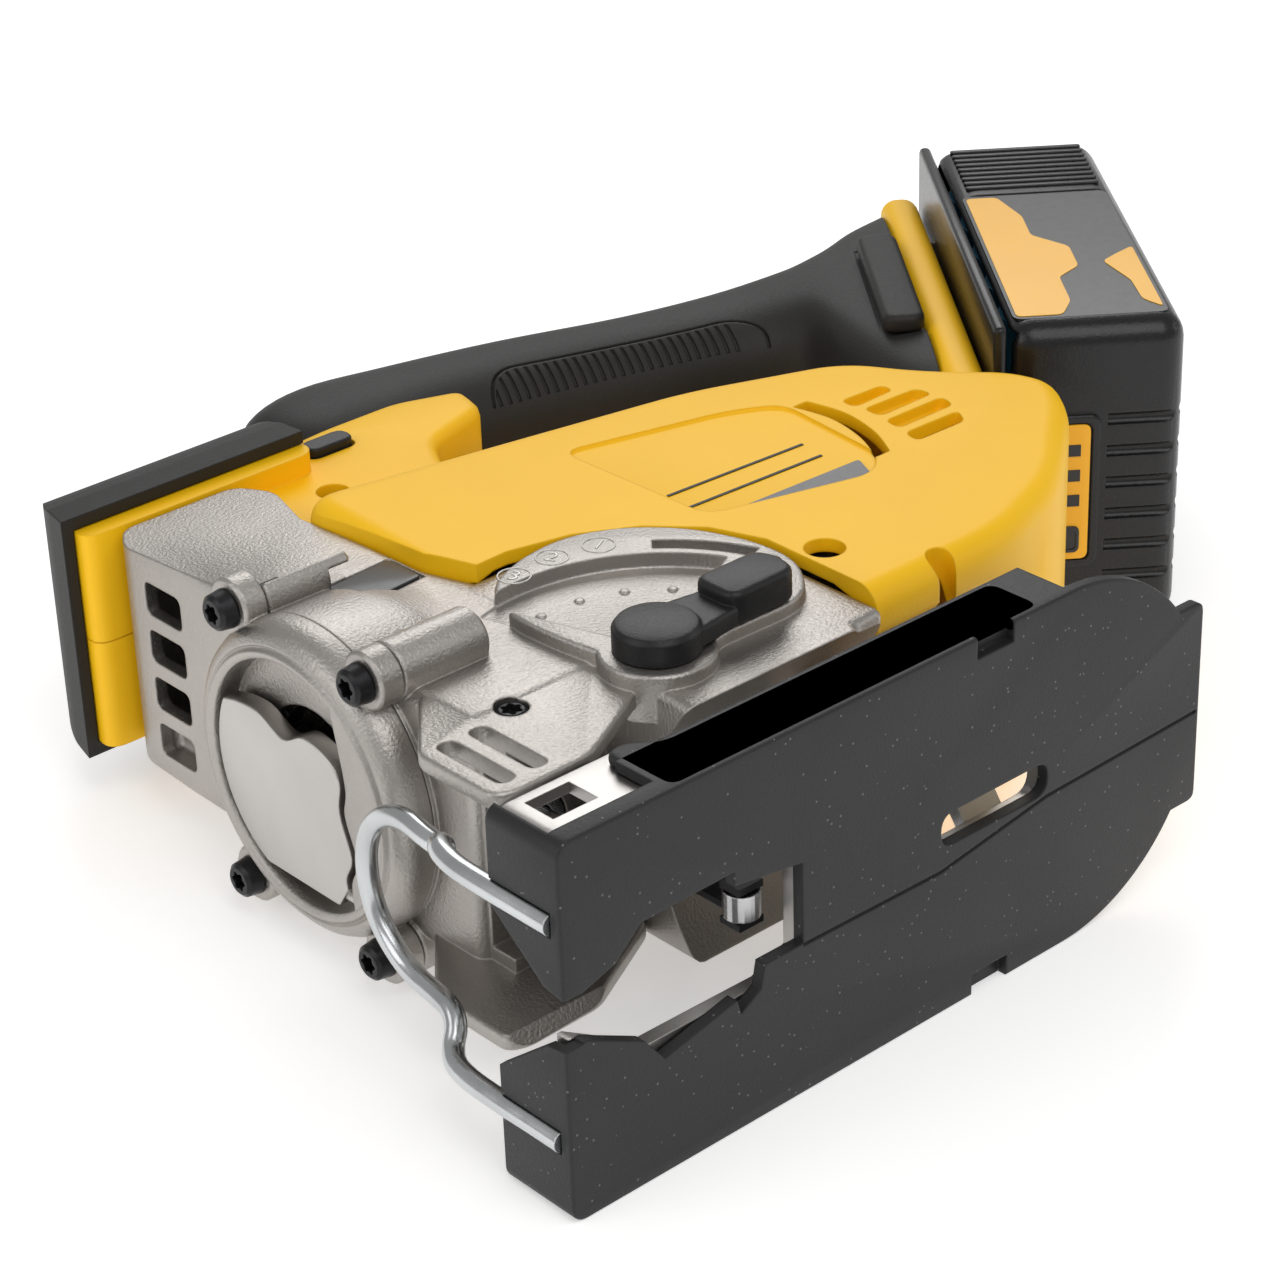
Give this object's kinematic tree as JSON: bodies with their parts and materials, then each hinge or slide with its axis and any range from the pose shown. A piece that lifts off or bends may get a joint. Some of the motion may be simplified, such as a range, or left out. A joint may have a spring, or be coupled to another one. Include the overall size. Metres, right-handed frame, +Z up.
{
  "type": "cordless jigsaw",
  "caption": "Top-handle cordless jigsaw with a tilting shoe, wire blade guard, orbit selector, front blade lever and a slide-on battery, lying on its side.",
  "frame": {"origin": "centre of the footprint, on the surface the tool lies on", "axes": "+X from the blade end towards the battery, +Y from the sole of the shoe towards the handle, +Z up, which is the left side of the tool because it lies on its right side"},
  "size_m": [0.3167, 0.228, 0.078],
  "materials": {
    "cast_aluminium": "satin die-cast aluminium",
    "zinc_steel": "bright zinc plate",
    "dark_steel": "black oxide",
    "bright_steel": "ground steel",
    "copper": "copper windings and carbon brushes",
    "yellow_plastic": "moulded, satin",
    "black_plastic": "moulded, fine texture",
    "black_gloss": "moulded, semi-gloss",
    "black_rubber": "soft overmould",
    "cell_wrap": "shrink wrap"
  },
  "bodies": {
    "tool_body": {"gear_case": "cast_aluminium", "front_cover": "cast_aluminium", "cover_screw_1": "dark_steel", "cover_screw_2": "dark_steel", "cover_screw_3": "dark_steel", "cover_screw_4": "dark_steel", "lower_bush": "bright_steel", "upper_bush": "bright_steel", "gear_shaft": "bright_steel", "front_bearing": "bright_steel", "rear_bearing": "bright_steel", "motor_stator": "dark_steel", "brush_left": "copper", "brush_right": "copper", "housing_left": "yellow_plastic", "housing_right": "yellow_plastic", "housing_screw_1": "dark_steel", "housing_screw_2": "dark_steel", "nose_bumper": "black_rubber", "handle_left": "black_rubber", "handle_right": "black_rubber", "power_switch": "black_plastic", "foot_band": "yellow_plastic", "foot_pad_left": "black_rubber", "foot_pad_right": "black_rubber", "terminal_block": "black_plastic"},
    "bevel_seat": {"bevel_seat": "cast_aluminium", "bevel_bolt": "dark_steel"},
    "bevel_lever": {"bevel_lever": "black_plastic"},
    "shoe": {"shoe_cover": "black_plastic", "shoe_plate": "cast_aluminium", "bevel_saddle": "zinc_steel", "wire_guard": "zinc_steel"},
    "blade_lever": {"blade_lever": "cast_aluminium"},
    "plunger": {"plunger": "bright_steel"},
    "blade_clamp": {"blade_clamp": "dark_steel"},
    "counterweight": {"counterweight": "bright_steel"},
    "drive_gear": {"drive_gear": "bright_steel"},
    "motor_rotor": {"armature": "copper", "motor_fan": "black_plastic", "pinion": "bright_steel"},
    "orbit_lever": {"orbit_lever": "black_plastic"},
    "orbit_fork": {"orbit_fork": "dark_steel"},
    "blade_roller": {"blade_roller": "bright_steel"},
    "trigger": {"trigger": "black_plastic"},
    "lock_off_button": {"lock_off_button": "black_plastic"},
    "battery": {"battery_case": "black_gloss", "battery_lid": "black_gloss", "battery_cells": "cell_wrap", "battery_gauge": "yellow_plastic"},
    "battery_release_button": {"battery_release_button": "black_plastic"}
  },
  "joints": [
    {"name": "shoe_slide", "type": "slide", "parent": "tool_body", "child": "bevel_seat", "axis": [1, 0, 0], "range_m": [0, 0.0025]},
    {"name": "shoe_bevel", "type": "hinge", "parent": "bevel_seat", "child": "shoe", "pos_m": [-0.0537, -0.114, 0.039], "axis": [1, 0, 0], "range_deg": [-45, 45]},
    {"name": "bevel_lever_turn", "type": "hinge", "parent": "bevel_seat", "child": "bevel_lever", "pos_m": [-0.0447, -0.082, 0.039], "axis": [0, -1, 0], "range_deg": [0, 90]},
    {"name": "blade_lever_open", "type": "hinge", "parent": "tool_body", "child": "blade_lever", "pos_m": [-0.1358, -0.013, 0.0195], "axis": [0, -1, 0], "range_deg": [0, 50], "stiffness_Nm_per_rad": 0.05, "springref_deg": -8.59},
    {"name": "plunger_stroke", "type": "slide", "parent": "tool_body", "child": "plunger", "axis": [0, 1, 0], "range_m": [-0.013, 0.013]},
    {"name": "blade_clamp_turn", "type": "hinge", "parent": "plunger", "child": "blade_clamp", "pos_m": [-0.1147, -0.079, 0.039], "axis": [0, 1, 0], "range_deg": [0, 30]},
    {"name": "counterweight_stroke", "type": "slide", "parent": "tool_body", "child": "counterweight", "axis": [0, 1, 0], "range_m": [-0.006, 0.006]},
    {"name": "rotor_spin", "type": "hinge", "parent": "tool_body", "child": "motor_rotor", "pos_m": [-0.0267, -0.0055, 0.039], "axis": [1, 0, 0], "continuous": true},
    {"name": "gear_spin", "type": "hinge", "parent": "tool_body", "child": "drive_gear", "pos_m": [-0.0927, -0.03, 0.039], "axis": [1, 0, 0], "continuous": true},
    {"name": "orbit_lever_turn", "type": "hinge", "parent": "tool_body", "child": "orbit_lever", "pos_m": [-0.0887, -0.064, 0.072], "axis": [0, 0, 1], "range_deg": [0, 80]},
    {"name": "orbit_fork_swing", "type": "hinge", "parent": "tool_body", "child": "orbit_fork", "pos_m": [-0.1032, -0.062, 0.039], "axis": [0, 0, -1], "range_deg": [0, 4], "stiffness_Nm_per_rad": 0.5, "springref_deg": -2.86},
    {"name": "blade_roller_spin", "type": "hinge", "parent": "orbit_fork", "child": "blade_roller", "pos_m": [-0.1047, -0.1028, 0.039], "axis": [0, 0, 1], "continuous": true},
    {"name": "trigger_pull", "type": "slide", "parent": "tool_body", "child": "trigger", "axis": [0, 1, 0], "range_m": [0, 0.005], "stiffness_N_per_m": 700, "springref_m": -0.002},
    {"name": "lock_off_push", "type": "slide", "parent": "tool_body", "child": "lock_off_button", "axis": [0, 0, 1], "range_m": [-0.003, 0]},
    {"name": "battery_slide_off", "type": "slide", "parent": "tool_body", "child": "battery", "axis": [0.6157, 0.788, 0], "range_m": [0, 0.11]},
    {"name": "battery_release_push", "type": "slide", "parent": "battery", "child": "battery_release_button", "axis": [-0.6157, -0.788, 0], "range_m": [0, 0.002], "stiffness_N_per_m": 1500, "springref_m": -0.002}
  ],
  "couplings": [
    {"joint": "blade_clamp_turn", "follows": "blade_lever_open", "ratio": 0.6},
    {"joint": "counterweight_stroke", "follows": "plunger_stroke", "ratio": -0.46},
    {"joint": "gear_spin", "follows": "rotor_spin", "ratio": -0.28947}
  ]
}
